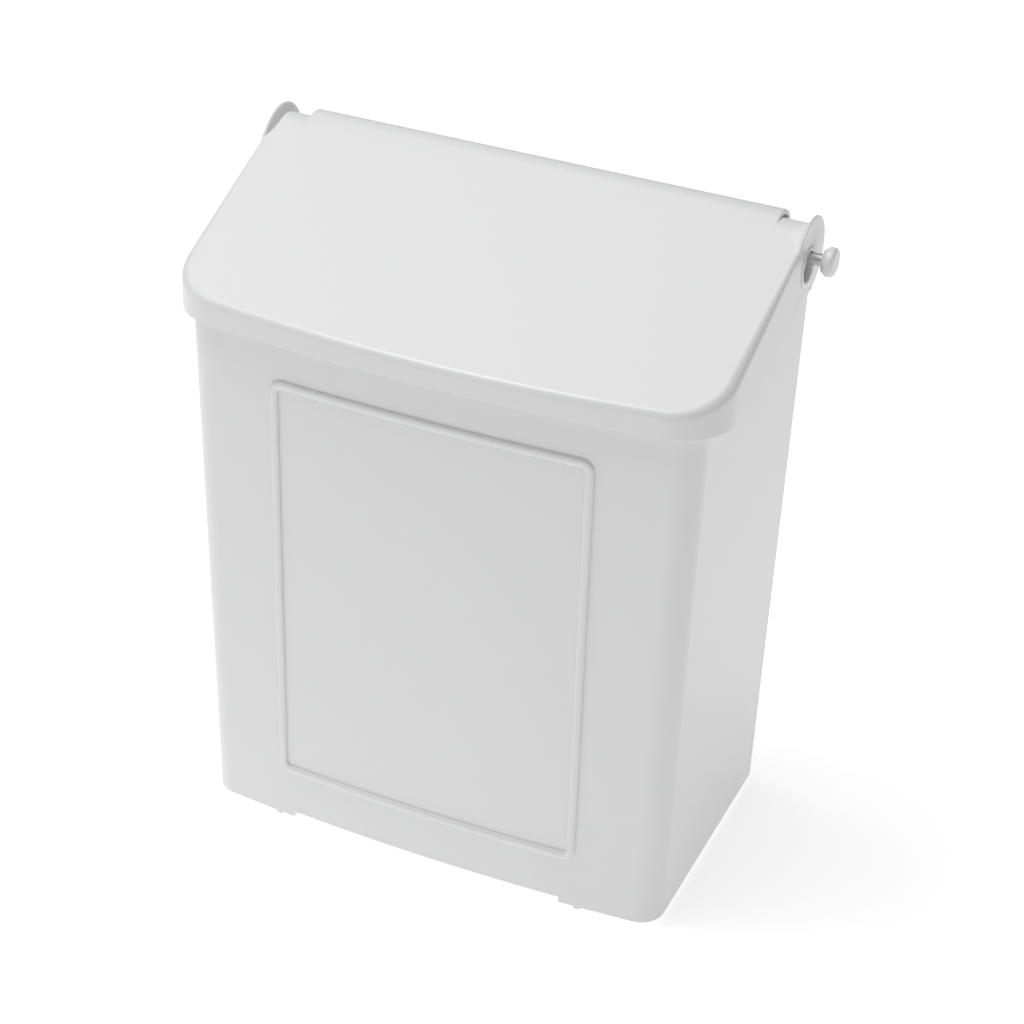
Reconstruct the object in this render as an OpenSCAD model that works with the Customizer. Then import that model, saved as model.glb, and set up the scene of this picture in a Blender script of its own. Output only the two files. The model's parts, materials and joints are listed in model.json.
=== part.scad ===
// Small wall-hung waste bin: a moulded box with a bowed front, a sloping hinged hood,
// a loose steel hinge rod with two push-on caps, and a lift-out inner liner.
// The back face lies on the wall at y = 0 and the front looks along -Y.
// The origin is the centre of the four wall screw holes, on the back face.

/* [Body] */
// Width of the body at the base
body_w = 182; // [150:1:230]
// Depth of the body at the base, from the wall to the middle of the front
body_d = 104.3; // [90:0.1:150]
// Radius of the bow across the front
bow_r = 875; // [500:5:1600]
// Radius of the two front upright corners
corner_r = 9.5; // [8:0.5:20]
// Lean of the front, so that the moulding leaves its mould
front_draft = 0.6; // [0.3:0.1:1.5]
// Lean of the sides
side_draft = 0.8; // [0.3:0.1:1.5]
// Wall thickness of the body
wall = 2.6; // [2:0.1:3.5]
// Thickness of the floor
floor_t = 2.8; // [2:0.1:4]

/* [Base] */
// Height of the rim under the floor
rim_h = 2.8; // [2.6:0.1:6]
// Width of the notch in the front of the rim
notch_w = 108.6; // [60:0.2:130]
// Height of the notch
notch_h = 2.3; // [1:0.1:2.5]
// Distance between the left feet and the right feet, centre to centre
foot_span = 122.6; // [112:0.2:140]
// Width of a foot
foot_w = 2.4; // [2:0.1:6]
// Length of a foot
foot_l = 9; // [5:0.5:14]
// Height of a foot
foot_h = 1.2; // [0.8:0.1:3]

/* [Front frame] */
// Width of the raised frame on the front
frame_w = 118.8; // [60:0.2:126]
// Height of the raised frame
frame_h = 166.6; // [80:0.2:170]
// Height of the frame's lower edge above the feet
frame_z = 22.6; // [15:0.2:30]
// Width of the frame's bead
bead_w = 2.4; // [1.5:0.1:4]
// How far the bead stands out
bead_h = 0.9; // [0.5:0.1:1.5]
// Corner radius of the frame
frame_r = 4.5; // [3:0.1:8]

/* [Lid] */
// Slope of the lid
lid_slope = 22; // [18:0.2:25]
// Wall thickness of the lid
lid_t = 2.5; // [2:0.1:3.2]
// Height of the lid's front lip
lip_h = 7.4; // [6:0.1:14]
// How far the lip stands out past the front of the body
lip_out = 4.4; // [3.6:0.1:10]
// Gap between the body's sides and the lid's sides
side_gap = 3.3; // [0.8:0.1:4]
// Radius of the lid's front upright corners
lid_corner_r = 20; // [12:0.5:24]
// Gap between the body's rim and the closed lid
rim_gap = 0.5; // [0.3:0.1:1.5]
// Distance from the lip back to where the side skirts start to rise
skirt_flat = 40; // [20:1:50]

/* [Hinge] */
// Height of the hinge axis above the feet
hinge_h = 236; // [200:0.5:300]
// Distance of the hinge axis from the wall
hinge_d = 22.5; // [20:0.5:45]
// Outer radius of the lid's rolled rear edge
roll_r = 11.2; // [10:0.1:13]
// Radius of the ridge behind the roll
ridge_r = 9.2; // [8.5:0.1:9.8]
// How far the top runs on before the ridge turns down
ridge_run = 4.8; // [4.4:0.1:5.2]
// Length of the raised ridge
ridge_w = 176.5; // [120:0.5:180]
// Radius of the round ears
ear_r = 14.4; // [13:0.1:17]
// How far the rim of an ear's hole stands out
ear_rim = 0.5; // [0.3:0.1:1]
// Radius of the loose hole in an ear
ear_hole_r = 5.3; // [4.5:0.1:6]
// Diameter of the hinge rod
rod_d = 4.2; // [3:0.1:5]
// Radial clearance of the rod in the body's lugs
rod_clear = 0.05; // [0.02:0.01:0.1]
// Diameter of a rod cap
cap_d = 9.8; // [8:0.1:12]
// Length of a rod cap
cap_l = 4.3; // [3:0.1:8]
// Gap between each cap and its ear when the rod is centred
cap_gap = 2.9; // [2:0.1:6]
// How far the rod rests off centre, towards the right
rod_shift = 1.6; // [-1.6:0.1:1.6]

/* [Liner] */
// Wall thickness of the liner
liner_t = 1.6; // [1.2:0.1:2.5]
// Gap between the liner and the front and sides of the body
liner_gap = 1.6; // [1:0.1:3]
// Gap between the liner and the rod, seen from above, so that the liner lifts straight out
rod_pass = 3; // [2:0.5:10]
// Height of the rib on the floor that keeps the liner from sliding back
stop_h = 8; // [4:0.5:20]
// Length of that rib
stop_w = 100; // [40:1:150]
// Height of the liner
liner_h = 189; // [120:1:190]
// Width of each finger slot
slot_w = 30; // [20:1:40]
// Height of each finger slot
slot_h = 12; // [8:0.5:16]

/* [Wall screws] */
// Distance between the screw holes across the back
screw_dx = 120; // [80:1:140]
// Distance between the lower and the upper screw holes
screw_dz = 120; // [80:1:140]
// Height of the lower screw holes above the feet
screw_z = 65; // [40:1:80]
// Diameter of a screw hole
screw_d = 5; // [3:0.1:7]

/* [Hidden] */
$fn = 96;
fine = 360;
big = 400;
// Heights above the feet
floor_z = foot_h + rim_h;
floor_top = floor_z + floor_t;
origin_z = screw_z + screw_dz / 2;
axis_y = -hinge_d;
// Round parts stand a touch proud of the flats they run into, so that the two cross cleanly
proud = 0.05;
// Lid: inner radius of the roll, and the lug that turns inside it
roll_in = roll_r - lid_t;
lug_r = roll_in - rim_gap + proud;
body_half = body_w / 2 + hinge_h * tan(side_draft);
lid_in = body_half + side_gap;
lid_half = lid_in + lid_t;
// The front of the lip, worked out at the height where the top meets it
lip_y = -(body_d + (hinge_h - 30) * tan(front_draft) + lip_out);
lip_top = top_z(lip_y);
lip_z = lip_top - lip_h;
// The rolled edge stops at this angle, so that the lid opens past the lugs
roll_end = 62;
ridge_end = 8;
neck_angle = -70;
deck_z = hinge_h - roll_r - 0.3;
deck_y = -(hinge_d - 12);
// The ear hole hangs on the rod: its middle lies below and in front of the axis
hang = ear_hole_r - rod_d / 2 - rod_clear;
hang_y = axis_y + hang * cos(235);
hang_z = hinge_h + hang * sin(235);
rod_half = lid_half + cap_gap + cap_l - 1;
liner_in = wall + liner_gap;
liner_rear = hinge_d + rod_d / 2 + rod_pass;
liner_top = floor_top + liner_h;

// Height of the lid's top face at depth y
function top_z(y) = hinge_h + roll_r / cos(lid_slope) + tan(lid_slope) * (y + hinge_d);
// The same face lowered by a distance square to it
function low_z(y, down) = top_z(y) - down / cos(lid_slope);

// Everything is drawn with the feet at z = 0 and then moved to the screw pattern
module in_frame() { translate([0, 0, -origin_z]) children(); }

// A flat shape drawn in depth (y) and height (z), carried from x0 to x1
module across(x0, x1) {
    translate([x0, 0, 0]) rotate([90, 0, 90]) linear_extrude(x1 - x0) children();
}

// Plan of a box with a bowed front and round front corners, open towards the wall
module plan(half, front, r_bow, r_corner, back) {
    cy = r_bow - front;
    cx = half - r_corner;
    ky = cy - sqrt(pow(r_bow - r_corner, 2) - cx * cx);
    far = r_bow / (r_bow - r_corner) * 1.02;
    intersection() {
        translate([0, cy]) circle(r = r_bow, $fn = fine);
        polygon([[0, cy], [-cx * far, cy + (ky - cy) * far], [cx * far, cy + (ky - cy) * far]]);
    }
    translate([-half, ky]) square([2 * half, back - ky]);
    for (side = [-1, 1]) translate([side * cx, ky]) circle(r = r_corner);
}

// The drafted form of the body, brought in by inset, between two heights: two mirrored halves
module form(inset, z0, z1, back) {
    for (side = [0, 1]) mirror([side, 0, 0]) intersection() {
        rotate([front_draft, side_draft, 0]) translate([0, 0, -20]) linear_extrude(hinge_h + 60)
            plan(body_w / 2 - inset, body_d - inset, bow_r - inset, max(corner_r - inset, 2), 20);
        translate([0, back - big, z0]) cube([big, big, z1 - z0]);
    }
}

// Side view of the body: open under the sloping lid, with a round lug at the hinge
module body_side() {
    polygon([[1, foot_h], [1, deck_z], [axis_y, deck_z], [axis_y, hinge_h],
        [axis_y - lug_r * sin(lid_slope), hinge_h + lug_r * cos(lid_slope)],
        [-big / 2, low_z(-big / 2, lid_t + rim_gap)], [-big / 2, foot_h]]);
    translate([axis_y, hinge_h]) circle(r = lug_r);
    translate([axis_y, hinge_h])
        polygon([[0, 0], [0, -roll_r - 4], (roll_r + 4) * [cos(neck_angle), sin(neck_angle)]]);
}

// A rounded rectangle with its lower edge's middle at the origin
module panel(w, h, r) {
    for (x = [r - w / 2, w / 2 - r]) for (z = [r, h - r]) translate([x, z]) circle(r = r);
    translate([-w / 2, r]) square([w, h - 2 * r]);
    translate([r - w / 2, 0]) square([w - 2 * r, h]);
}

// A flat shape drawn in width (x) and height (z), carried from y0 to y1
module along(y0, y1) {
    translate([0, y1, 0]) rotate([90, 0, 0]) linear_extrude(y1 - y0) children();
}

module rod_hole(r) {
    across(-big / 2, big / 2) translate([axis_y, hinge_h]) circle(r = r);
}

module screw_spots() {
    for (x = [-screw_dx / 2, screw_dx / 2]) for (z = [screw_z, screw_z + screw_dz])
        translate([x, 0, z]) children();
}

module body() {
    color("white") in_frame() difference() {
        union() {
            difference() {
                intersection() {
                    form(0, foot_h, hinge_h + roll_r, 0);
                    across(-big / 2, big / 2) body_side();
                }
                form(wall, floor_top, hinge_h + 30, -wall);
                form(wall, 0, floor_z, -wall);
            }
            rear_deck();
            liner_stop();
            hinge_lugs();
            feet();
            front_frame();
        }
        rod_hole(rod_d / 2 + rod_clear);
        notch();
        screw_spots() rotate([90, 0, 0]) cylinder(d = screw_d, h = 3 * wall, center = true);
    }
}

// The deck closes the gap between the wall and the rolled edge of the lid
module rear_deck() {
    intersection() {
        form(wall / 2, deck_z - 9, deck_z, 0);
        across(-big / 2, big / 2) {
            translate([deck_y, deck_z - wall]) square([-deck_y, wall]);
            translate([deck_y, deck_z - 8]) square([wall, 8]);
        }
    }
}

// A low rib stands on the floor behind the liner
module liner_stop() {
    translate([-stop_w / 2, 1 - liner_rear, floor_z + 1]) cube([stop_w, wall, stop_h + floor_t - 1]);
}

// Each side wall is thickened round the rod
module hinge_lugs() {
    intersection() {
        form(wall / 2, hinge_h - 2 * lug_r, hinge_h + lug_r, 0);
        for (side = [-1, 1]) across(side * body_half - 5.6, side * body_half + 5.6)
            translate([axis_y, hinge_h]) circle(r = lug_r);
    }
}

module feet() {
    intersection() {
        form(0.3, 0, floor_z + 1, 0);
        union() {
            for (x = [-foot_span / 2, foot_span / 2]) for (y = [-big / 2, -foot_l])
                translate([x - foot_w / 2, y, 0])
                    cube([foot_w, y < -foot_l ? big / 2 - body_d + foot_l + 4 : foot_l, floor_z + 1]);
        }
    }
}

module notch() {
    translate([-notch_w / 2, -body_d - 20, -1]) cube([notch_w, 20 + wall + 8, foot_h + notch_h + 1]);
}

// A raised bead in the shape of an upright frame follows the bowed front
module front_frame() {
    intersection() {
        difference() {
            form(-bead_h, frame_z - 5, frame_z + frame_h + 5, 0);
            form(wall / 2, frame_z - 6, frame_z + frame_h + 6, 0);
        }
        along(-big / 2, -body_d / 2) translate([0, frame_z]) difference() {
            panel(frame_w, frame_h, frame_r);
            translate([0, bead_w]) panel(frame_w - 2 * bead_w, frame_h - 2 * bead_w, frame_r - bead_w);
        }
    }
}

// The inner bucket stands on the floor and lifts out by its two finger slots
module liner() {
    color("gainsboro") in_frame() difference() {
        union() {
            form(liner_in, floor_top + 0.05, liner_top, -liner_rear);
            form(liner_in - liner_gap + 0.5, liner_top - 3, liner_top, 1.1 - liner_rear);
        }
        form(liner_in + liner_t, floor_top + liner_t, liner_top + 1, -liner_rear - liner_t);
        across(-big / 2, big / 2)
            translate([-(body_d + liner_rear) / 2, liner_top - 9 - slot_h]) slot_shape();
    }
}

module slot_shape() {
    r = slot_h / 2;
    for (y = [r - slot_w / 2, slot_w / 2 - r]) translate([y, r]) circle(r = r);
    translate([r - slot_w / 2, 0]) square([slot_w - slot_h, slot_h]);
}

// Plan of the lid at full height, brought in by inset
module lid_block(inset) {
    linear_extrude(hinge_h + 60)
        plan(lid_half - inset, -lip_y - inset, bow_r - inset, lid_corner_r - inset, 20);
}

// Side view of the hood: lip, flat skirt edge, and a straight rise to the ear
module hood_side() {
    start = lip_y + skirt_flat;
    gap = [axis_y - start, hinge_h - lip_z];
    near = ear_r - 0.3;
    rise = atan2(gap[1], gap[0]) - asin(near / norm(gap));
    touch = [axis_y, hinge_h] + near * [sin(rise), -cos(rise)];
    polygon([[-big / 2, lip_z], [start, lip_z], touch, [axis_y, hinge_h],
        [axis_y, hinge_h] + roll_r * [-sin(lid_slope), cos(lid_slope)],
        [-big / 2, top_z(-big / 2)]]);
}

// The hollow of the hood in side view: it follows the top and turns round the hinge axis
module hollow_side() {
    under = hinge_h - 0.9 * roll_in;
    polygon([[-big / 2, 0], [10, 0], [10, under], [axis_y, under],
        [axis_y, hinge_h], [axis_y, hinge_h] + roll_in * [-sin(lid_slope), cos(lid_slope)],
        [-big / 2, low_z(-big / 2, lid_t)]]);
    translate([axis_y, hinge_h]) circle(r = roll_in + proud);
}

// A point given along the lid's slope and square to it, measured from the hinge axis
function sloped(a, b) = [a * cos(lid_slope) - b * sin(lid_slope), a * sin(lid_slope) + b * cos(lid_slope)];
function ray(angle) = 3 * ear_r * [cos(angle), sin(angle)];

// Side view of the rolled rear edge: it ends inside the roof at the front
module roll_side() {
    top = 90 + lid_slope + 9;
    translate([axis_y, hinge_h]) intersection() {
        circle(r = roll_r + proud);
        polygon([[0, 0], ray(roll_end), ray((roll_end + top) / 2), ray(top)]);
    }
}

// Side view of the ridge: the top runs on past the roll and turns down behind it
module ridge_side() {
    sunk = roll_r - lid_t / 2;
    slant = 0.2;
    translate([axis_y, hinge_h]) difference() {
        union() {
            intersection() {
                translate(sloped(ridge_run, roll_r + slant + proud - ridge_r)) circle(r = ridge_r);
                polygon([[0, 0], ray(ridge_end), ray(45), ray(80), sloped(0, 3 * ear_r)]);
            }
            polygon([sloped(-8, sunk), sloped(-8, roll_r - slant),
                sloped(ridge_run, roll_r + slant), sloped(ridge_run, sunk)]);
        }
        circle(r = roll_r - 0.6);
    }
}

module lid() {
    color("whitesmoke") in_frame() difference() {
        union() {
            difference() {
                union() {
                    intersection() {
                        lid_block(0);
                        across(-lid_half, lid_half) hood_side();
                        soft_edges();
                    }
                    across(-lid_in - 0.3, lid_in + 0.3) roll_side();
                    across(-ridge_w / 2, ridge_w / 2) ridge_side();
                }
                intersection() {
                    lid_block(lid_t);
                    across(-big / 2, big / 2) hollow_side();
                }
            }
            for (side = [-1, 1]) ear(side);
        }
        across(-big / 2, big / 2) translate([hang_y, hang_z]) circle(r = ear_hole_r);
    }
}

// The side edges of the top are rounded along the slope
module soft_edges() {
    r = lid_t + 0.2;
    translate([0, axis_y, hinge_h]) rotate([lid_slope, 0, 0]) translate([0, 60, 0]) rotate([90, 0, 0])
        linear_extrude(big) {
            for (side = [-1, 1]) translate([side * (lid_half - r), roll_r - r]) circle(r = r);
            translate([r - lid_half, roll_r - big / 2]) square([2 * (lid_half - r), big / 2]);
            translate([-lid_half, roll_r - r - big / 2]) square([2 * lid_half, big / 2]);
        }
}

// A side skirt ends in a round ear, with a low rim round its hole
module ear(side) {
    across(min(side * lid_in, side * lid_half), max(side * lid_in, side * lid_half))
        translate([axis_y, hinge_h]) circle(r = ear_r);
    across(min(side * lid_in, side * (lid_half + ear_rim)), max(side * lid_in, side * (lid_half + ear_rim)))
        translate([hang_y, hang_z]) circle(r = ear_hole_r + 2);
}

module hinge_rod() {
    color("silver") in_frame()
        across(rod_shift - rod_half, rod_shift + rod_half) translate([axis_y, hinge_h]) circle(d = rod_d);
}

// A cap with a flange on its inner end, a chamfer on its outer end and a blind bore
module cap(side) {
    at = side * (lid_half + cap_gap) + rod_shift;
    translate([at, axis_y, hinge_h]) rotate([0, side * 90, 0]) difference() {
        union() {
            cylinder(d = cap_d, h = cap_l - 0.8);
            translate([0, 0, cap_l - 0.8]) cylinder(d1 = cap_d, d2 = cap_d - 1.6, h = 0.8);
            cylinder(d = cap_d + 0.8, h = 1.4);
        }
        translate([0, 0, -1]) cylinder(d = rod_d, h = cap_l);
    }
}

module cap_left() { color("white") in_frame() cap(-1); }

module cap_right() { color("white") in_frame() cap(1); }

body();
liner();
lid();
hinge_rod();
cap_left();
cap_right();
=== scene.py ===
"""Looks for the wall-hung waste bin: rounded mouldings, a front bead, finishes, light and camera.

Lengths are in metres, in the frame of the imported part: the wall is y = 0, the front looks along -Y.
"""
import json
import math
import types

import bmesh
import bpy
import numpy as np
from mathutils import Matrix, Vector


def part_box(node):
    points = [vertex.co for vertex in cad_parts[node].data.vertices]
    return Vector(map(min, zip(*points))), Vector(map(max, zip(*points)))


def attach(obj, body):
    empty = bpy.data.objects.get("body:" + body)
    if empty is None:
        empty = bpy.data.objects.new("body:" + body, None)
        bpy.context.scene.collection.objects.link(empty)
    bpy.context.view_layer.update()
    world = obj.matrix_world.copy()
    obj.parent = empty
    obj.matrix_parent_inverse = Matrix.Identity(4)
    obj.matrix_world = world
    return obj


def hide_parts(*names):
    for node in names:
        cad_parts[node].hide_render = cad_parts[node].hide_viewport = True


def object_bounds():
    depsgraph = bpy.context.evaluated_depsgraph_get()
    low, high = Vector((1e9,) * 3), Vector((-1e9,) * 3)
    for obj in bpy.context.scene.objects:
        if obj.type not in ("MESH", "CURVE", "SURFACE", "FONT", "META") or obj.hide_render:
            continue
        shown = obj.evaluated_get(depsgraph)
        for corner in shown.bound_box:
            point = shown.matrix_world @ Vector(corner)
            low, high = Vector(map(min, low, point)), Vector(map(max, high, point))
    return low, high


bl_info = {
    "name": "Wall bin looks",
    "version": (1, 0, 0),
    "blender": (4, 5, 0),
    "location": "View3D > Sidebar > Wall bin",
    "description": "Rounds the mouldings of a small wall-hung bin and sets its finishes",
    "category": "Object",
}

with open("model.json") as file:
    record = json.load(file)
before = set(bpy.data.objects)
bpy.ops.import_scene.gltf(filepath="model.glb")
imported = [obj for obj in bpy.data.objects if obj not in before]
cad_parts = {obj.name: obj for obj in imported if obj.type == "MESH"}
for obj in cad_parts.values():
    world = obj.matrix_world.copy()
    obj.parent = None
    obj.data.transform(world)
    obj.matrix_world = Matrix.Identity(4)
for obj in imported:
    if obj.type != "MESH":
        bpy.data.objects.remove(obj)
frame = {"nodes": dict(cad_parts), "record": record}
CAD_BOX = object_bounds()
MM = 0.001
JOINTS = {j["name"]: j for j in frame["record"]["behaviour"]["joints"]}
# The hinge axis in depth and height, in millimetres
AXIS = np.array(JOINTS["lid_hinge"]["pos_m"][1:]) / MM
LID_LOW, LID_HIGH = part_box("lid")

# Camera: bearing, height angle and roll in degrees; distance from the bin, and how far it aims beside
# and above the bin's middle, in metres; lens and sensor in millimetres
CAMERA_TURN = (23.402, 31.899, 2.168)
CAMERA_FAR = 0.89009
CAMERA_AIM = (0.00768, 0.00111)
CAMERA_LENS = 87.341
CAMERA_SENSOR = 36
# Area lights: name, place and size in metres, power in watts
LIGHTS = (
    ("top_box", (-0.35, -0.15, 1.3), (1.2, 1.2), 9.5),
    ("top_spot", (-0.45, -0.25, 1.35), (0.28, 0.28), 3.0),
    ("left_box", (-1.3, -1.0, 0.7), (0.9, 1.2), 0.8),
)
# Strengths of the room's even light and of the floor's own light
ROOM_STRENGTH = 0.29
FLOOR_GLOW = 0.50
# Half the floor's width, and how far it lies below the bin, in metres
FLOOR_REACH = 4.0
FLOOR_DROP = 0.0002


# ---------------------------------------------------------------- sizes and colours

def length(name, description, millimetres):
    """A length, given here in millimetres and kept in metres."""
    return bpy.props.FloatProperty(name=name, description=description, default=millimetres * MM,
                                   subtype="DISTANCE", unit="LENGTH", precision=5)


def angle(name, description, degrees):
    """An angle, given here in degrees and kept in radians."""
    return bpy.props.FloatProperty(name=name, description=description, default=math.radians(degrees),
                                   subtype="ANGLE", unit="ROTATION")


class BinSizes(bpy.types.PropertyGroup):
    """Sizes of the mouldings, of the bead on the front and of the caps."""
    slope: angle("Lid slope", "Slope of the lid's top", 22)
    lid_bow: length("Lid bow", "Radius of the lid's bowed front", 875)
    lid_corner: length("Lid corners", "Radius of the lid's front corners in plan", 20)
    lid_round: length("Lid edge", "Rounding along the front rim of the lid's top", 3.4)
    back_round: length("Back edge", "The same rounding where it reaches the ears", 1.0)
    inner_round: length("Inner edge", "Least rounding inside the lid", 0.3)
    lip_round: length("Lip edge", "Rounding of the skirt's lower edge", 0.2)
    edge_round: length("Other edges", "Rounding of the ears and the skirt's feet", 0.5)
    wall: length("Wall", "Wall thickness of the lid", 2.5)
    apart: length("Step", "Step that keeps two flush faces from lying on each other", 0.01)
    skirt_flat: length("Level skirt", "From the lip back to where the skirts start to rise", 40)
    roll: length("Roll", "Distance of the lid's top face from the hinge axis", 11.2)
    roll_end: angle("Roll end", "Direction from the axis where the roll ends", 62)
    ridge: length("Ridge", "Radius of the ridge behind the roll", 9.2)
    ridge_wall: length("Ridge wall", "Wall thickness of the ridge", 1.8)
    ridge_run: length("Ridge run", "How far the top runs on before the ridge turns down", 4.8)
    ridge_end: angle("Ridge end", "Direction from the ridge's middle where it ends", -22)
    ridge_half: length("Ridge half", "Half the length of the ridge", 88.25)
    ridge_round: length("Ridge ends", "Rounding of the ridge's two ends", 0.6)
    ear: length("Ear", "Radius of the ears", 14.4)
    ear_aim: length("Skirt aim", "Radius at the ear that the skirt's lower edge aims at", 14.1)
    rim: length("Rim", "Radius of the low rim round an ear's hole", 7.3)
    rim_rise: length("Rim rise", "How far that rim stands out", 0.3)
    cad_rim_rise: length("Packed rim rise", "How far the same rim stands out on the packed part", 0.5)
    hole: length("Hole", "Radius of an ear's hole", 5.3)
    hang: length("Hang", "How far the hole's middle hangs from the axis", 3.15)
    hang_way: angle("Hang way", "Direction in which it hangs", 235)
    front: length("Front", "Depth of the body's front at its feet", 104.3)
    front_bow: length("Front bow", "Radius of the bowed front", 875)
    front_lean: angle("Front lean", "Draft of the body's front", 0.6)
    side_lean: angle("Side lean", "Draft of the body's sides", 0.8)
    feet_down: length("Feet", "How far the feet lie below the middle of the screw pattern's top", 125)
    bead_w: length("Bead frame width", "Width of the bead's path", 116.4)
    bead_h: length("Bead frame height", "Height of the bead's path", 164.2)
    bead_low: length("Bead frame foot", "Height of the bead's path above the feet", 23.8)
    bead_corner: length("Bead corners", "Radius of the path's corners", 3.3)
    bead_half: length("Bead half", "Half the width of the bead", 1.6)
    bead_rise: length("Bead rise", "How far the bead stands out", 1.2)
    bead_sunk: length("Bead root", "How far the bead reaches into the front", 0.4)
    bead_power: bpy.props.FloatProperty(
        name="Bead power", description="Power of the superellipse of the bead's section", default=2.6)
    collar: length("Collar", "Radius of a cap's collar", 4.1)
    collar_long: length("Collar length", "Length of a cap's collar", 1.1)
    collar_edge: length("Collar edge", "Bevel of the collar's inner end", 0.25)
    head: length("Head", "Radius of a cap's head", 5.1)
    head_back: length("Head back", "Rounding of the head towards the collar", 0.7)
    head_front: length("Head front", "Rounding of the head's outer end", 1.3)


def millimetres(group):
    """The group's sizes as plain numbers: lengths in millimetres, angles in radians.

    The lid's half width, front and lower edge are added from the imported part.
    """
    d = types.SimpleNamespace()
    for name in group.__annotations__:
        rule = group.bl_rna.properties[name]
        setattr(d, name, getattr(group, name) / (MM if rule.unit == "LENGTH" else 1))
    d.lid_half = LID_HIGH.x / MM - d.cad_rim_rise
    d.lip_y, d.lip_low = LID_LOW.y / MM, LID_LOW.z / MM
    return d


class BinColours(bpy.types.PropertyGroup):
    """Base colours of the finishes."""
    shell: bpy.props.FloatVectorProperty(
        name="Shell", description="White moulded plastic", default=(0.795, 0.798, 0.80),
        subtype="COLOR", size=3, min=0, max=1)
    liner: bpy.props.FloatVectorProperty(
        name="Liner", description="Light grey moulded plastic", default=(0.60, 0.61, 0.61),
        subtype="COLOR", size=3, min=0, max=1)
    steel: bpy.props.FloatVectorProperty(
        name="Steel", description="Drawn steel of the rod", default=(0.70, 0.70, 0.71),
        subtype="COLOR", size=3, min=0, max=1)
    floor: bpy.props.FloatVectorProperty(
        name="Floor", description="Pale studio floor", default=(0.93, 0.93, 0.93),
        subtype="COLOR", size=3, min=0, max=1)


# ---------------------------------------------------------------- shader expressions

class Wire:
    """A shader socket that Python's + and * turn into Math nodes."""

    def __init__(self, sheet, socket):
        self.sheet = sheet
        self.socket = socket

    def _math(self, operation, other):
        return self.sheet.node("ShaderNodeMath", {"operation": operation}, {0: self, 1: other})

    def __add__(self, other):
        return self._math("ADD", other)

    def __mul__(self, other):
        return self._math("MULTIPLY", other)

    __radd__ = __add__
    __rmul__ = __mul__


class Finish:
    """One material: makes its nodes, and puts values or wires into their sockets."""

    def __init__(self, name):
        self.material = bpy.data.materials.new(name)
        self.material.use_nodes = True
        self.tree = self.material.node_tree
        self.tree.nodes.clear()
        self.shader = self.tree.nodes.new("ShaderNodeBsdfPrincipled")
        out = self.tree.nodes.new("ShaderNodeOutputMaterial")
        self.tree.links.new(self.shader.outputs["BSDF"], out.inputs["Surface"])

    def _plug(self, node, sockets):
        """Puts a value into a socket, or links a wire to it."""
        for key, value in sockets.items():
            if isinstance(value, Wire):
                self.tree.links.new(value.socket, node.inputs[key])
            else:
                node.inputs[key].default_value = value

    def node(self, kind, settings, sockets, output=0):
        """Makes a node of that kind: settings first, then its sockets."""
        node = self.tree.nodes.new(kind)
        for key, value in settings.items():
            setattr(node, key, value)
        self._plug(node, sockets)
        return Wire(self, node.outputs[output])

    def set(self, **sockets):
        """Sets sockets of the surface shader; an underscore in a name stands for a space."""
        self._plug(self.shader, {k.replace("_", " "): v for k, v in sockets.items()})

    def place(self):
        """Object coordinates, in metres."""
        return self.node("ShaderNodeTexCoord", {}, {}, "Object")

    def noise(self, scale, detail, stretch=(1, 1, 1)):
        """Noise from about 0 to 1; a larger stretch makes it finer that way."""
        spread = self.node("ShaderNodeMapping", {}, {"Vector": self.place(), "Scale": stretch})
        sockets = {"Vector": spread, "Scale": scale, "Detail": detail}
        return self.node("ShaderNodeTexNoise", {}, sockets, "Fac")

    def mix(self, factor, a, b):
        """Colour a where factor is 0 and colour b where it is 1."""
        factor_in, a_in, b_in, colour_out = 0, 6, 7, 2
        return self.node("ShaderNodeMix", {"data_type": "RGBA"}, {factor_in: factor, a_in: a, b_in: b},
                         colour_out)

    def bump(self, height, strength, distance):
        """A normal that follows the height, at most distance metres deep."""
        sockets = {"Height": height, "Strength": strength, "Distance": distance}
        return self.node("ShaderNodeBump", {}, sockets, "Normal")


def shade(colour, factor):
    """A colour made darker or lighter, as four numbers."""
    return (*[min(1.0, c * factor) for c in colour], 1.0)


def moulded(name, colour, rough, coat):
    """Moulded plastic: soft clouding of colour and gloss, fine orange peel and a thin clear coat."""
    f = Finish(name)
    cloud = f.noise(scale=9.0, detail=3.0)
    grain = f.noise(scale=900.0, detail=2.0)
    peel = f.noise(scale=150.0, detail=1.0)
    f.set(Base_Color=f.mix(cloud, shade(colour, 0.985), shade(colour, 1.015)),
          Roughness=rough - 0.04 + 0.08 * cloud,
          Normal=f.bump(peel + 0.15 * grain, strength=0.10, distance=0.0002),
          Coat_Weight=coat, Coat_Roughness=0.18, IOR=1.46)
    return f.material


def drawn_steel(name, colour):
    """Drawn steel rod: fine streaks along the rod."""
    f = Finish(name)
    streak = f.noise(scale=60.0, detail=3.0, stretch=(1.5, 40, 40))
    f.set(Base_Color=f.mix(streak, shade(colour, 0.75), shade(colour, 1.1)),
          Metallic=1.0, Roughness=0.36 + 0.14 * streak,
          Normal=f.bump(streak, strength=0.2, distance=0.0001))
    return f.material


def studio_floor(name, colour):
    """Pale floor with a faint mottle, lifted towards white."""
    f = Finish(name)
    mottle = f.noise(scale=3.0, detail=2.0)
    f.set(Base_Color=f.mix(mottle, shade(colour, 0.995), shade(colour, 1.0)),
          Roughness=0.9, Emission_Color=(1, 1, 1, 1), Emission_Strength=FLOOR_GLOW)
    return f.material


# ---------------------------------------------------------------- moulded shapes

# Points nearer than this, in metres, are one
DOUBLES = 1e-7


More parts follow.
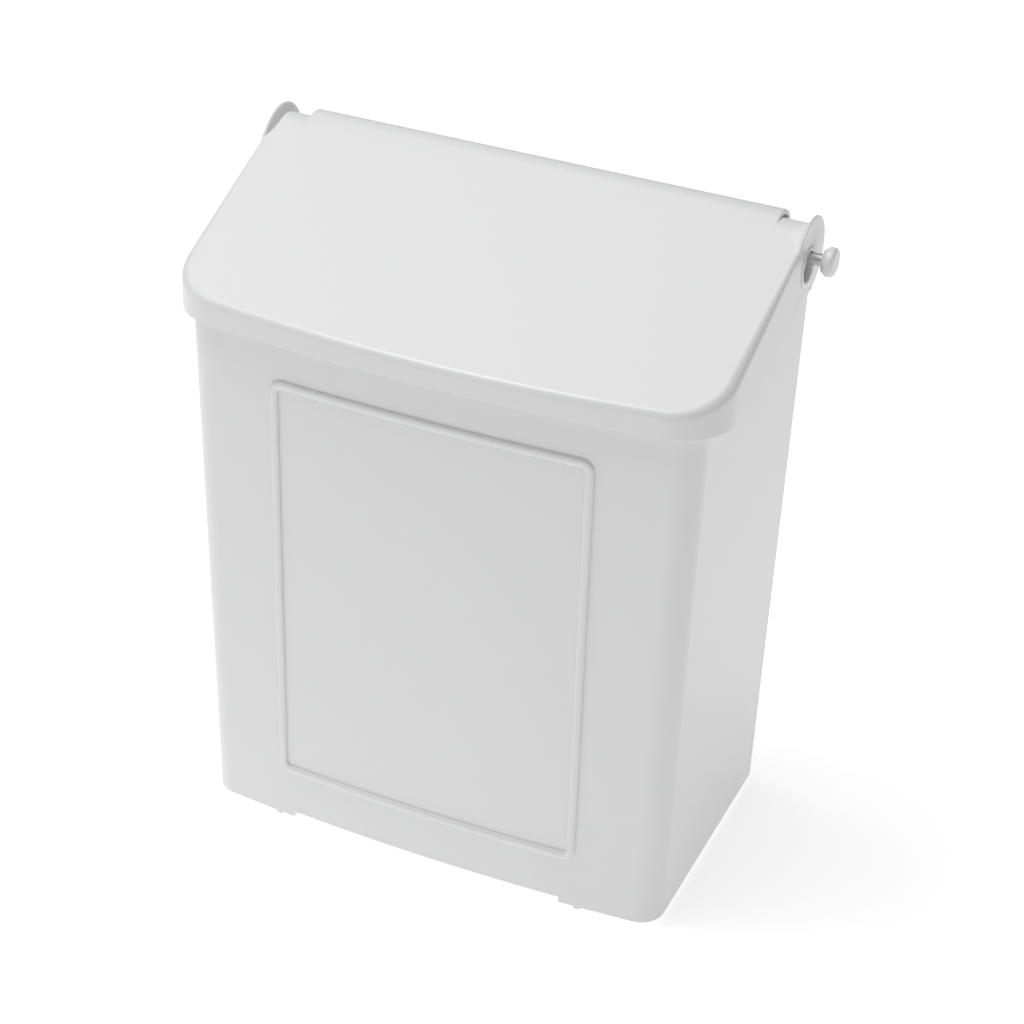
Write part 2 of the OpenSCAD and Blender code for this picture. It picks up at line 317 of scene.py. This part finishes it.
def grid_mesh(name, sheets, material):
    """A mesh of quads from (rows, columns, 3) point grids in metres."""
    points, faces, start = [], [], 0
    for sheet in sheets:
        rows, columns = sheet.shape[:2]
        k = start + np.arange(rows * columns).reshape(rows, columns)
        points.append(sheet.reshape(-1, 3))
        faces.append(np.stack([k[:-1, :-1], k[:-1, 1:], k[1:, 1:], k[1:, :-1]], -1).reshape(-1, 4))
        start += rows * columns
    mesh = bpy.data.meshes.new(name)
    mesh.from_pydata(np.concatenate(points).tolist(), [], np.concatenate(faces).tolist())
    mesh.materials.append(material)
    return mesh


def placed(name, mesh):
    """An object of that mesh in the scene, at the origin."""
    obj = bpy.data.objects.new(name, mesh)
    bpy.context.scene.collection.objects.link(obj)
    return obj


def closed_mesh(name, sheets, material):
    """One smooth object from point grids in millimetres: doubles merged, ends filled, faces outward."""
    mesh = grid_mesh(name, [sheet * MM for sheet in sheets], material)
    bm = bmesh.new()
    bm.from_mesh(mesh)
    bmesh.ops.remove_doubles(bm, verts=bm.verts, dist=DOUBLES)
    bmesh.ops.holes_fill(bm, edges=[e for e in bm.edges if e.is_boundary])
    bmesh.ops.recalc_face_normals(bm, faces=bm.faces)
    bm.to_mesh(mesh)
    bm.free()
    mesh.shade_smooth()
    return placed(name, mesh)


def joined(*runs):
    """The runs of points or numbers one after another."""
    return np.concatenate(runs)


def directions(start, end, steps):
    """Unit vectors (cos t, sin t), with t in radians spread evenly from start to end."""
    t = np.linspace(start, end, steps)
    return np.column_stack([np.cos(t), np.sin(t)])


def sloped(d, points):
    """Points given along the lid's slope and square to it, turned to depth and height about the axis."""
    c, s = math.cos(d.slope), math.sin(d.slope)
    return AXIS + np.array(points) @ np.array([(c, s), (-s, c)])


# Rows of points along the side, round the corner, along half the front, and round the roll
SIDE_ROWS = 45
CORNER_ROWS = 21
FRONT_ROWS = 44
ROLL_ROWS = 15


def half_plan(d):
    """Plan of the lid's right half from the hinge to the middle of the front.

    The side is a straight line, the corner an arc, the front an arc about a point on the middle line.
    Gives points and their outward normals.
    """
    middle = d.lid_bow + d.lip_y
    corner_x = d.lid_half - d.lid_corner
    corner_y = middle - math.sqrt((d.lid_bow - d.lid_corner) ** 2 - corner_x ** 2)
    turn = math.asin(corner_x / (d.lid_bow - d.lid_corner))
    back_y = AXIS[0] - (d.roll - d.back_round) * math.sin(d.slope)
    side_y = np.linspace(back_y, corner_y, SIDE_ROWS + 1)[:-1]
    corner = directions(0, turn - math.pi / 2, CORNER_ROWS + 1)[:-1]
    front = directions(turn - math.pi / 2, -math.pi / 2, FRONT_ROWS)
    points = joined(np.column_stack([np.full(SIDE_ROWS, d.lid_half), side_y]),
                    (corner_x, corner_y) + d.lid_corner * corner,
                    (0, middle) + d.lid_bow * front)
    return points, joined(np.tile([1.0, 0.0], (SIDE_ROWS, 1)), corner, front)


def hood(d):
    """The hood of the lid as one closed sheet, in millimetres.

    Each row is a closed loop: up the outer wall, over a rolling-ball rounding, across the top to the
    mirrored side, down, under the lower edge and back along the inner faces. Rows run from the end of
    the rolled rear edge, round the hinge axis, along the side, round the corner to the middle of the
    front, where the two sides meet.
    """
    points, normals = half_plan(d)
    # The rounding shrinks evenly along the straight side, from the corner back to the ear
    back_y, corner_y = points[0, 1], points[SIDE_ROWS, 1]
    r = d.back_round + (d.lid_round - d.back_round) * np.clip(
        (points[:, 1] - back_y) / (corner_y - back_y), 0, 1)
    # Ball centres and top normals of the rows round the axis, then of the rows under the flat top
    turned = directions(d.roll_end, math.pi / 2 + d.slope, ROLL_ROWS + 1)[:-1]
    roll = AXIS + (d.roll - d.back_round) * turned
    centre = points - r[:, None] * normals
    lift = AXIS[1] + (d.roll - r) / math.cos(d.slope) + math.tan(d.slope) * (centre[:, 1] - AXIS[0])
    centre = joined(np.column_stack([np.full(ROLL_ROWS, d.lid_half - d.back_round), roll]),
                    np.column_stack([centre, lift]))
    side = joined(np.tile([1.0, 0.0, 0.0], (ROLL_ROWS, 1)),
                  np.column_stack([normals, np.zeros(len(normals))]))
    top = joined(np.column_stack([np.zeros(ROLL_ROWS), turned]),
                 np.tile([0, -math.sin(d.slope), math.cos(d.slope)], (len(points), 1)))
    r = joined(np.full(ROLL_ROWS, d.back_round), r)[:, None, None]
    # Directions of the rounding: turned evenly from the side's normal to the top's normal
    between = np.arccos((side * top).sum(1))[:, None, None]
    f = np.linspace(0, 1, 11)[None, :, None]
    fan = np.sin((1 - f) * between) * side[:, None] + np.sin(f * between) * top[:, None]
    fan /= np.sin(between)
    # Lower edge of the skirt: level at the lip, then a straight rise; near the ear's hole, where the
    # ear and the skirt's foot take over, it steps up behind the ear
    hole_near, step_up = -9, 4
    wall_y = centre[:, 1] + r[:, 0, 0] * side[:, 1]
    low = skirt_low(d, wall_y)
    low[wall_y - AXIS[0] > hole_near] = AXIS[1] + step_up
    # Shares: how far each point of the lower edge is set in and raised, in rounding radii; how far up
    # the wall and how far in from the rim the other points lie
    set_in = np.array([1.0, 0.5, 0.134, 0.0, 0.0])
    raised = np.array([0.0, 0.134, 0.5, 1.0, 1.6])
    upward = np.linspace(0.15, 0.97, 5)[None, :, None]
    across = np.array([0.006, 0.05, 0.2, 0.4, 0.6, 0.8])
    skins = []
    for depth, way in ((0.0, 1.0), (d.wall, -1.0)):
        inset = depth + way * d.lip_round * set_in
        wall = centre[:, None] + (r - inset[None, :, None]) * side[:, None]
        wall[:, :, 2] = low[:, None] + d.lip_round * raised
        # Where the inner rounding would vanish, a small one is kept and its centre moved in
        ball = np.maximum(r - depth, d.inner_round)
        heart = centre[:, None] - (ball - r + depth) * (side + top)[:, None]
        rounding = heart + ball * fan
        climb = wall[:, -1:] + upward * (rounding[:, :1] - wall[:, -1:])
        edge = rounding[:, -1:]
        roof = np.repeat(edge, len(across), 1)
        roof[:, :, 0] *= (1 - across)[None, :]
        half = np.concatenate([wall, climb, rounding, roof], 1)
        skins.append(np.concatenate([half, edge * [0, 1, 1], half[:, ::-1] * [-1, 1, 1]], 1))
    outer, inner = skins
    loop = np.concatenate([outer, inner[:, ::-1], outer[:, :1]], 1)
    # The rear end is closed by a row halfway between the two skins
    seam = (outer[:1] + inner[:1]) / 2
    seam = np.concatenate([seam, seam[:, ::-1], seam[:, :1]], 1)
    return np.concatenate([seam, loop])


def skirt_low(d, y):
    """Height of the skirt's lower edge at depth y: level, then a straight rise that grazes the ear."""
    start = d.lip_y + d.skirt_flat
    gap = AXIS - (start, d.lip_low)
    rise = math.atan2(gap[1], gap[0]) - math.asin(d.ear_aim / math.hypot(*gap))
    return d.lip_low + math.tan(rise) * np.maximum(y - start, 0)


def polygon(corners, steps):
    """A closed polygon with that many evenly spread points along every edge."""
    f = np.linspace(0, 1, steps, endpoint=False)[None, :, None]
    return (corners[:, None] + f * (np.roll(corners, -1, 0) - corners)[:, None]).reshape(-1, 2)


def skirt_foot(d, side):
    """The corner of the skirt between its lower edge and the ear, in millimetres."""
    # Depths from the axis of the lower edge's two ends, then the two upper corners behind the ear
    front, back = -14.0, 4.45
    upper = ((3, -11.5), (-11, -9.9))
    corners = [(AXIS[0] + y, skirt_low(d, AXIS[0] + y)) for y in (front, back)]
    shape = polygon(joined(corners, AXIS + upper), 8)
    sheet = carried(shape, d.wall / 2, d.edge_round)
    sheet[:, :, 0] += side * (d.lid_half + d.apart - d.wall / 2)
    return sheet


def carried(profile, half, round_off):
    """A closed profile in depth and height carried across to both sides, with its ends rounded.

    profile is (n, 2) in millimetres, anticlockwise, and shrinks inward by round_off at the ends.
    """
    inward = np.roll(profile, -1, 0) - np.roll(profile, 1, 0)
    inward = np.column_stack([-inward[:, 1], inward[:, 0]])
    inward /= np.linalg.norm(inward, axis=1, keepdims=True)
    t = np.radians(np.linspace(0, 90, 6))
    inset = round_off * (1 - np.sin(t))
    reach = half - round_off * (1 - np.cos(t))
    inset, reach = joined(inset, inset[::-1]), joined(-reach, reach[::-1])
    flat = profile[None] + inset[:, None, None] * inward[None]
    rows = np.concatenate([np.repeat(reach[:, None, None], len(profile), 1), flat], 2)
    return np.concatenate([rows, rows[:, :1]], 1)


def ridge(d):
    """The ridge behind the roll, in millimetres, as a closed profile to be carried across.

    The top face runs on behind the roll, then turns down along an arc about a middle given along the
    slope and square to it. The inside follows the same arc one thickness in.
    """
    along = np.array([4.4, 3.4, 2.2, 1.0, 0.3, -0.2, -1.5, -1.5, 2.0])
    below = np.array([0, 0, 0, 0, 0, 0.005, 0.2, 1.5, d.ridge_wall])
    middle = sloped(d, (d.ridge_run, d.roll - d.ridge))
    turn = directions(d.ridge_end, math.pi / 2 + d.slope, 36)
    return joined(middle + d.ridge * turn, sloped(d, np.column_stack([along, d.roll - below])),
                  middle + (d.ridge - d.ridge_wall) * turn[::-1])


def ear(d, side):
    """A round ear with a hole that hangs on the rod, in millimetres.

    Every row is one direction round the ear; along a row the points pass from circle to circle: the
    rounded outer edge, the outer face, the rim, the hole, the inner face, and a flare that thins the
    ear's edge. A circle is given as its middle's share of the way from the axis to the hole's middle,
    its radius, and its distance from the bin's middle.
    """
    e, hole, rim = d.edge_round, d.hole, d.rim
    out, high, inn = d.lid_half + d.apart / 2, d.lid_half + d.rim_rise, d.lid_half - d.wall - d.apart
    foot, bevel = rim + 0.25, 0.3
    face, near = d.ear - e, 0.1
    circles = [(0, d.ear - e * (1 - math.cos(v)), out - e * (1 - math.sin(v)))
               for v in np.linspace(0, math.pi / 2, 5)]
    circles += [(s, (1 - s) * face + s * foot, out) for s in (near, 1 - near)]
    circles += [(1, foot, out), (1, rim, out + 0.1), (1, rim, high - 0.2), (1, rim - 0.2, high),
                (1, hole + bevel, high), (1, hole, high - bevel), (1, hole, inn + bevel),
                (1, hole + bevel, inn), (1 - near, near * face + (1 - near) * foot, inn)]
    circles += [(0, d.ear - down, inn + out_by)
                for down, out_by in ((3.4, 0), (2.6, 0.4), (1.6, 0.85), (0.6, 1.3), (0.15, 1.65))]
    share, radius, x = np.array(circles + circles[:1]).T
    middle = AXIS + share[:, None] * d.hang * directions(d.hang_way, d.hang_way, 1)
    ring = middle + radius[None, :, None] * directions(0, 2 * math.pi, 97)[:, None]
    ring[-1] = ring[0]
    return np.concatenate([np.broadcast_to(side * x[None, :, None], (*ring.shape[:2], 1)), ring], 2)


class BIN_OT_lid(bpy.types.Operator):
    """Builds the lid as a rounded moulding: hood, ridge, two ears and the feet of the skirts."""
    bl_idname = "wall_bin.lid"
    bl_label = "Lid"

    def execute(self, context):
        d = millimetres(context.scene.bin_sizes)
        sheets = [hood(d), carried(ridge(d), d.ridge_half, d.ridge_round)]
        sheets += [make(d, side) for make in (ear, skirt_foot) for side in (1, -1)]
        lid = closed_mesh("lid_shell", sheets, bpy.data.materials["shell_white"])
        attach(lid, "lid")
        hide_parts("lid")
        return {"FINISHED"}


def front_y(d, x, up):
    """Depth of the bowed, leaning front at width x and height up above the feet, in millimetres."""
    bow_x = np.maximum(np.abs(x) - up * math.tan(d.side_lean), 0)
    sag = d.front_bow - np.sqrt(d.front_bow ** 2 - bow_x ** 2)
    return sag - d.front - up * math.tan(d.front_lean)


def bead(d):
    """A rounded bead carried round an upright rounded rectangle on the front, in millimetres.

    The path is four lines and four quarter arcs. The section is a superellipse: width part w and
    height part h obey |w|^n + |h|^n = 1, standing on the front surface.
    """
    signs = np.array([(1, 1), (-1, 1), (-1, -1), (1, -1)])
    corners = signs * (d.bead_w / 2 - d.bead_corner, d.bead_h / 2 - d.bead_corner)
    path, out = [], []
    for k in range(4):
        quarter = directions(k * math.pi / 2, (k + 1) * math.pi / 2, 13)
        path.append(corners[k] + d.bead_corner * quarter)
        # Points along the straight run to the next corner, so that the bead follows the bow
        f = np.linspace(0, 1, 26)[1:-1, None]
        path.append(path[-1][-1] + f * (corners[(k + 1) % 4] - corners[k]))
        out += [quarter, np.tile(quarter[-1], (len(f), 1))]
    path, out = joined(*path), joined(*out)
    path[:, 1] += d.bead_low + d.bead_h / 2
    wide, high = directions(0, math.pi, 17).T
    wide = d.bead_half * np.sign(wide) * np.abs(wide) ** (2 / d.bead_power)
    high = d.bead_rise * np.abs(high) ** (2 / d.bead_power)
    # The section's foot is sunk, so that no gap shows at the front
    wide = joined(wide, [-d.bead_half, d.bead_half, d.bead_half])
    high = joined(high, [-d.bead_sunk, -d.bead_sunk, 0])
    spot = path[:, None] + wide[None, :, None] * out[:, None]
    x, up = spot[..., 0], spot[..., 1]
    ring = np.stack([x, front_y(d, x, up) - high[None], up - d.feet_down], -1)
    return np.concatenate([ring, ring[:1]])


def cap(d, node, side):
    """A pressed cap turned about the rod, in millimetres: a collar, then a wider rounded head.

    Rows are directions round the rod, columns run along the profile of distance and radius.
    """
    low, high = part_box(node)
    near, far = sorted(abs(v.x) / MM for v in (low, high))
    neck = near + d.collar_long
    back, front = np.radians([30, 60, 90]), np.radians([20, 40, 60, 80, 90])
    gap = 0.1
    x = joined([near, near, near + d.collar_edge, neck - gap, neck],
               neck + d.head_back * (1 - np.cos(back)), [far - d.head_front],
               far - d.head_front * (1 - np.sin(front)), [far])
    radius = joined([0, d.collar - d.collar_edge, d.collar, d.collar, d.collar + gap],
                    d.head - d.head_back * (1 - np.sin(back)), [d.head],
                    d.head - d.head_front * (1 - np.cos(front)), [0])
    ring = AXIS + radius[None, :, None] * directions(0, 2 * math.pi, 65)[:, None]
    return np.concatenate([np.broadcast_to(side * x[None, :, None], (*ring.shape[:2], 1)), ring], 2)


class BIN_OT_caps(bpy.types.Operator):
    """Turns the two caps on the rod."""
    bl_idname = "wall_bin.caps"
    bl_label = "Rod caps"

    def execute(self, context):
        d = millimetres(context.scene.bin_sizes)
        for node, side in (("cap_left", -1), ("cap_right", 1)):
            turned = closed_mesh("turned_" + node, [cap(d, node, side)], bpy.data.materials["shell_white"])
            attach(turned, "rod")
            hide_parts(node)
        return {"FINISHED"}


class BIN_OT_bead(bpy.types.Operator):
    """Lays the rounded bead on the front of the body."""
    bl_idname = "wall_bin.bead"
    bl_label = "Front bead"

    def execute(self, context):
        sheet = bead(millimetres(context.scene.bin_sizes))
        line = closed_mesh("front_bead", [sheet], bpy.data.materials["shell_white"])
        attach(line, "bin")
        return {"FINISHED"}


# ---------------------------------------------------------------- stage

def camera_frame(azimuth, elevation, roll):
    """Right, up and forward directions of a camera that stands at that bearing and looks down."""
    a, e, r = (math.radians(v) for v in (azimuth, elevation, roll))
    forward = Vector((-math.sin(a) * math.cos(e), math.cos(a) * math.cos(e), -math.sin(e)))
    level = Vector((math.cos(a), math.sin(a), 0))
    up = level.cross(forward)
    right = level * math.cos(r) + up * math.sin(r)
    return right, right.cross(forward), forward


def area_light(name, place, size, power, aim):
    """A soft rectangular light that faces aim."""
    light = bpy.data.lights.new(name, "AREA")
    light.shape = "RECTANGLE"
    light.size, light.size_y = size
    light.energy = power
    obj = bpy.data.objects.new(name, light)
    obj.location = place
    obj.rotation_euler = (Vector(aim) - Vector(place)).to_track_quat("-Z", "Y").to_euler()
    bpy.context.scene.collection.objects.link(obj)


class BIN_OT_stage(bpy.types.Operator):
    """Lays the floor, sets the soft light and stands the camera."""
    bl_idname = "wall_bin.stage"
    bl_label = "Stage"

    def execute(self, context):
        scene = context.scene
        middle = (CAD_BOX[0] + CAD_BOX[1]) / 2
        line = np.linspace(-FLOOR_REACH, FLOOR_REACH, 3)
        x, y = np.meshgrid(line, line)
        sheet = np.stack([x, y, np.full(x.shape, CAD_BOX[0].z - FLOOR_DROP)], -1)
        finish = studio_floor("studio_floor", scene.bin_colours.floor)
        floor = placed("floor", grid_mesh("floor", [sheet], finish))

        world = bpy.data.worlds.new("soft_room")
        world.use_nodes = True
        room = world.node_tree.nodes["Background"]
        room.inputs["Color"].default_value = (1, 1, 1, 1)
        room.inputs["Strength"].default_value = ROOM_STRENGTH
        scene.world = world
        for name, place, size, power in LIGHTS:
            area_light(name, place, size, power, middle)
        scene.view_settings.view_transform = "Standard"

        right, up, forward = camera_frame(*CAMERA_TURN)
        aim = middle + right * CAMERA_AIM[0] + up * CAMERA_AIM[1]
        lens = bpy.data.cameras.new("camera")
        lens.sensor_width = CAMERA_SENSOR
        lens.lens = CAMERA_LENS
        lens.clip_start = 0.01
        camera = bpy.data.objects.new("camera", lens)
        turn = Matrix((right, up, -forward)).transposed().to_4x4()
        camera.matrix_world = Matrix.Translation(aim - forward * CAMERA_FAR) @ turn
        scene.collection.objects.link(camera)
        scene.camera = camera
        return {"FINISHED"}


def recolour(node, material):
    """Gives a CAD node that material through its slot."""
    data = frame["nodes"][node].data
    data.materials.clear()
    data.materials.append(material)


class BIN_OT_finish(bpy.types.Operator):
    """Gives the parts that keep their own shape a finish."""
    bl_idname = "wall_bin.finish"
    bl_label = "Finishes"

    def execute(self, context):
        colours = context.scene.bin_colours
        recolour("body", moulded("shell_white", colours.shell, rough=0.34, coat=0.25))
        recolour("liner", moulded("liner_grey", colours.liner, rough=0.5, coat=0.0))
        recolour("hinge_rod", drawn_steel("rod_steel", colours.steel))
        return {"FINISHED"}


class BIN_PT_panel(bpy.types.Panel):
    """Lists the sizes, the colours and the steps that dress the bin."""
    bl_idname = "BIN_PT_panel"
    bl_label = "Wall bin"
    bl_space_type = "VIEW_3D"
    bl_region_type = "UI"
    bl_category = "Wall bin"

    def draw(self, context):
        for group in (context.scene.bin_sizes, context.scene.bin_colours):
            for name in group.__annotations__:
                self.layout.prop(group, name)
        for step in STEPS:
            self.layout.operator(step.bl_idname)


STEPS = (BIN_OT_stage, BIN_OT_finish, BIN_OT_lid, BIN_OT_bead, BIN_OT_caps)
CLASSES = (BinSizes, BinColours, *STEPS, BIN_PT_panel)


def register():
    for cls in CLASSES:
        bpy.utils.register_class(cls)
    bpy.types.Scene.bin_sizes = bpy.props.PointerProperty(type=BinSizes)
    bpy.types.Scene.bin_colours = bpy.props.PointerProperty(type=BinColours)


def unregister():
    del bpy.types.Scene.bin_colours
    del bpy.types.Scene.bin_sizes
    for cls in reversed(CLASSES):
        bpy.utils.unregister_class(cls)


def main():
    register()
    for step in STEPS:
        group, name = step.bl_idname.split(".")
        getattr(getattr(bpy.ops, group), name)()


if __name__ == "__main__":
    main()
